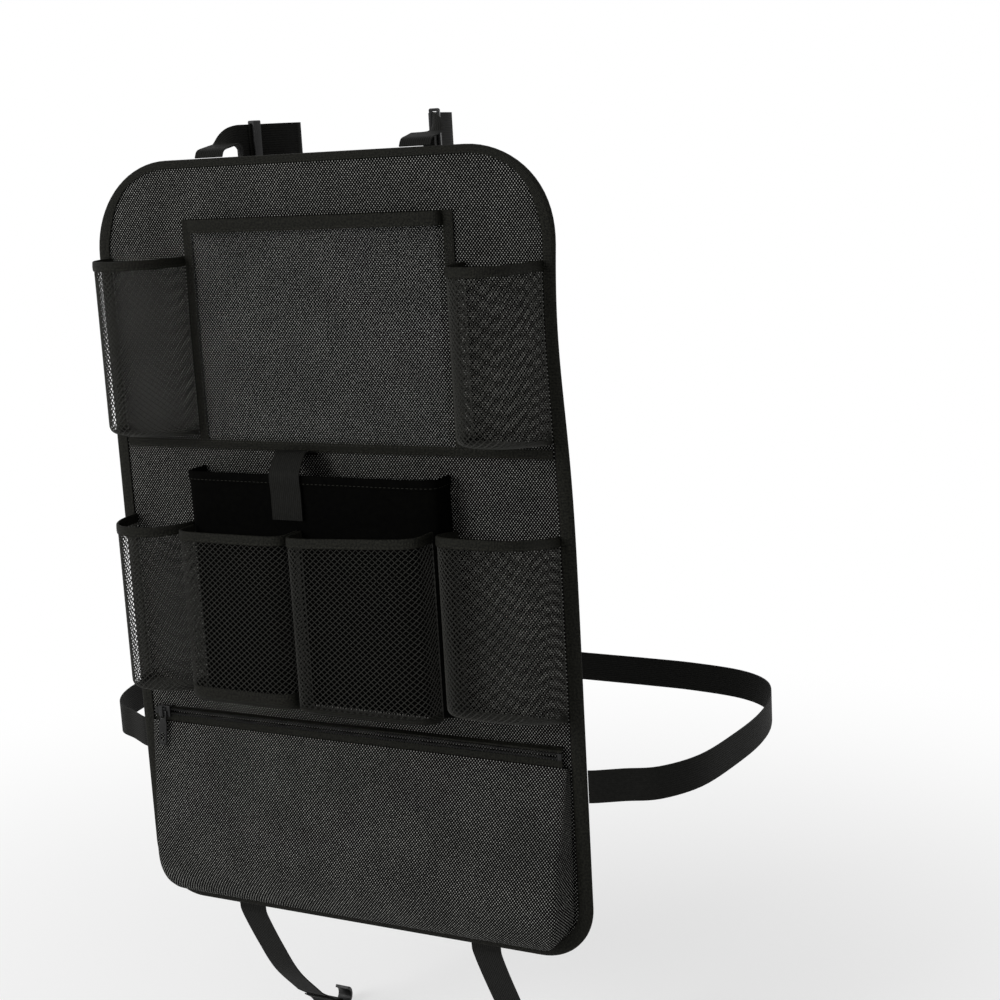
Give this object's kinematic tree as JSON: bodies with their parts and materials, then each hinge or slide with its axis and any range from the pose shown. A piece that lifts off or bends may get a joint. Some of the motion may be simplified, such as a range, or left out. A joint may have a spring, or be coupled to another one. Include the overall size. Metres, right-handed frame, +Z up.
{
  "type": "car seat back organizer",
  "caption": "Bound woven panel that hangs on a car seat's back, with a clear tablet sleeve, net pockets, a document pocket, a zipped pocket and straps.",
  "frame": {"origin": "centre of the panel's rear face, which lies on the seat's back", "axes": "+Z up, +Y out of the panel's rear face towards the seat, +X to the right for someone who faces the pockets"},
  "size_m": [0.6676, 0.4076, 0.9328],
  "materials": {
    "woven_polyester": "coarse woven cloth with a pale fleck, matt",
    "grosgrain_tape": "fine ribbed tape, slight sheen",
    "plain_polyester": "smooth plain cloth, matt",
    "polyester_net": "diamond net, open",
    "clear_film": "clear flexible film, glossy",
    "webbing": "ribbed webbing, matt",
    "nylon_coil": "coil zip teeth, satin",
    "enamelled_zinc": "black enamel, satin",
    "acetal": "moulded, fine texture"
  },
  "bodies": {
    "root": {"back_panel": "woven_polyester", "panel_binding": "grosgrain_tape", "tablet_window": "clear_film", "tablet_top_tape": "grosgrain_tape", "tablet_left_tape": "grosgrain_tape", "tablet_right_tape": "grosgrain_tape", "middle_tape": "grosgrain_tape", "left_bottle_net": "polyester_net", "left_bottle_rim": "grosgrain_tape", "right_bottle_net": "polyester_net", "right_bottle_rim": "grosgrain_tape", "can_net": "polyester_net", "can_rim": "grosgrain_tape", "flask_net": "polyester_net", "flask_rim": "grosgrain_tape", "phone_net": "polyester_net", "phone_rim": "grosgrain_tape", "glasses_net": "polyester_net", "glasses_rim": "grosgrain_tape", "document_pocket": "plain_polyester", "document_hem": "grosgrain_tape", "document_strap": "webbing", "zip_pocket_front": "woven_polyester", "zip_tape_upper": "grosgrain_tape", "zip_tape_lower": "grosgrain_tape", "zip_chain_upper": "nylon_coil", "zip_chain_lower": "nylon_coil", "zip_stop_left": "enamelled_zinc", "zip_stop_right": "enamelled_zinc", "top_strap_left": "webbing", "top_strap_right": "webbing", "top_keeper_left": "acetal", "top_keeper_right": "acetal", "side_strap_left": "webbing", "side_strap_right": "webbing", "buckle_plug": "acetal", "buckle_socket": "acetal", "bottom_strap_left": "webbing", "bottom_strap_right": "webbing", "strap_hook_left": "acetal", "strap_hook_right": "acetal"},
    "slider": {"zip_slider": "enamelled_zinc"},
    "pull_tab": {"zip_pull": "enamelled_zinc"}
  },
  "joints": [
    {"name": "zip_slide", "type": "slide", "parent": "root", "child": "slider", "axis": [1, 0, 0], "range_m": [0, 0.417]},
    {"name": "pull_swing", "type": "hinge", "parent": "slider", "child": "pull_tab", "pos_m": [-0.2091, -0.0137, -0.1675], "axis": [-1, 0, 0], "range_deg": [0, 150]}
  ]
}
